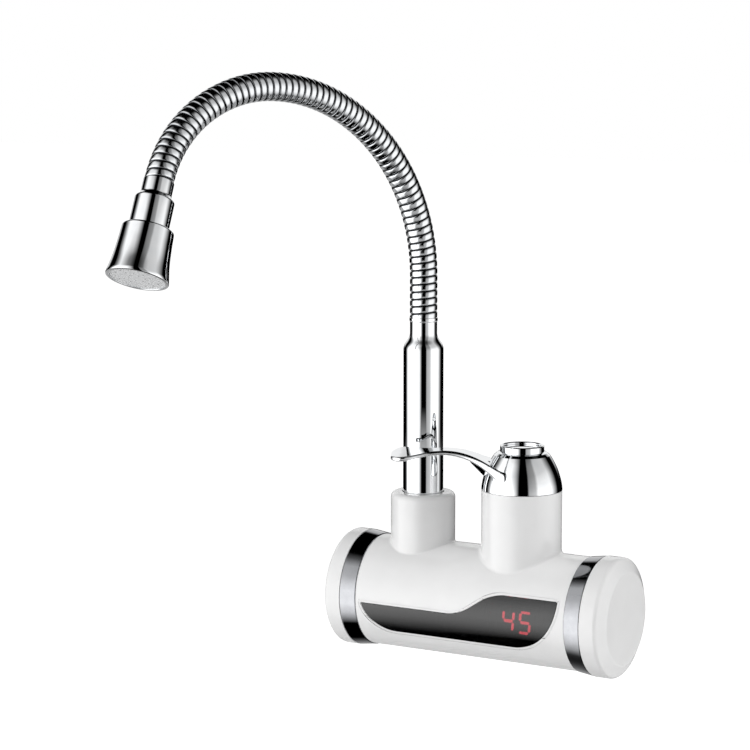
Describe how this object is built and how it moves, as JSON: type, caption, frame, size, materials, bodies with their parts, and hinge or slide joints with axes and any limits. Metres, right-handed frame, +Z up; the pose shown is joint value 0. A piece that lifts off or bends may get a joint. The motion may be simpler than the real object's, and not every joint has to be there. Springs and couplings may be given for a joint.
{
  "type": "wall-mounted electric hot water tap",
  "caption": "Wall-mounted instant hot water tap: a white barrel with a temperature display, a side lever handle and a bright ribbed gooseneck spout with a spray head.",
  "frame": {"origin": "middle of the rear inlet on the wall plane", "axes": "+X along the barrel to the right seen from the room, +Y into the wall along the inlet, +Z up"},
  "size_m": [0.195, 0.2723, 0.3153],
  "materials": {
    "white_plastic": "glossy moulded ABS",
    "chrome": "bright chrome plating",
    "stainless": "bright stainless steel",
    "smoked_plastic": "glossy smoked polycarbonate",
    "black_plastic": "moulded black nylon",
    "lit_digits": "lit red display strokes",
    "board": "green circuit board",
    "green_plastic": "moulded nylon",
    "brass": "machined brass",
    "ceramic": "lapped alumina ceramic",
    "rubber": "black sealing rubber",
    "silicone": "white silicone hose",
    "magnet": "sintered magnet",
    "aluminium": "extruded aluminium",
    "grey_plastic": "light grey moulded plastic"
  },
  "bodies": {
    "body": {"body_shell": "white_plastic", "left_trim_ring": "chrome", "right_trim_ring": "chrome", "left_end_cap": "white_plastic", "right_end_cap": "white_plastic", "display_bezel": "white_plastic", "display_window": "smoked_plastic", "digit_module": "black_plastic", "digit_segments": "lit_digits", "display_board": "board", "display_bracket": "black_plastic", "heater_tank": "stainless", "tank_seal": "rubber", "tank_lid": "stainless", "tank_screws": "stainless", "heating_element": "stainless", "temperature_probe": "stainless", "tank_cradle": "black_plastic", "thermal_cutout": "black_plastic", "valve_body": "brass", "cartridge_body": "black_plastic", "cartridge_gasket": "rubber", "fixed_ceramic_disc": "ceramic", "cartridge_nut": "brass", "flow_switch_housing": "black_plastic", "inlet_nipple": "brass", "filter_screen": "stainless", "inlet_locknut": "brass", "inlet_rose": "chrome", "cable_bush": "white_plastic", "board_carrier": "black_plastic", "control_board": "board", "board_screws": "stainless", "power_relay": "black_plastic", "terminal_block": "green_plastic", "triac_heat_sink": "aluminium", "spout_socket": "brass", "spout_grub_screw": "stainless"},
    "flow_magnet": {"flow_magnet": "magnet"},
    "handle": {"handle": "chrome", "handle_screw": "stainless", "index_cap": "chrome", "valve_stem": "brass", "moving_ceramic_disc": "ceramic"},
    "spout": {"spout_tube": "chrome", "spout_seals": "rubber", "spout_clip": "stainless", "spout_sleeve": "chrome", "lower_barb": "brass", "hose_rear": "stainless", "hose_crown": "stainless", "inner_hose": "silicone"},
    "head": {"hose_front": "stainless", "head_ferrule": "chrome", "ferrule_seals": "rubber", "head_barb": "brass"},
    "spray_bell": {"spray_bell": "chrome", "spray_face": "grey_plastic", "mode_plunger": "black_plastic"}
  },
  "joints": [
    {"name": "handle_turn", "type": "hinge", "parent": "body", "child": "handle", "pos_m": [0, -0.06, 0.075], "axis": [0, 0, 1], "range_deg": [0, 125]},
    {"name": "spout_swivel", "type": "hinge", "parent": "body", "child": "spout", "pos_m": [-0.0597, -0.06, 0.045], "axis": [0, 0, 1], "range_deg": [-70, 110]},
    {"name": "gooseneck_flex", "type": "hinge", "parent": "spout", "child": "head", "pos_m": [-0.09829, -0.15204, 0.27597], "axis": [0.9222, -0.3867, 0], "range_deg": [-20, 20], "deforming": ["hose_crown", "inner_hose"]},
    {"name": "spray_mode", "type": "slide", "parent": "head", "child": "spray_bell", "axis": [-0.0416, 0.4401, 0.897], "range_m": [0, 0.005]},
    {"name": "flow_magnet_slide", "type": "slide", "parent": "body", "child": "flow_magnet", "axis": [-1, 0, 0], "range_m": [0, 0.0025], "stiffness_N_per_m": 20, "springref_m": -0.003}
  ]
}
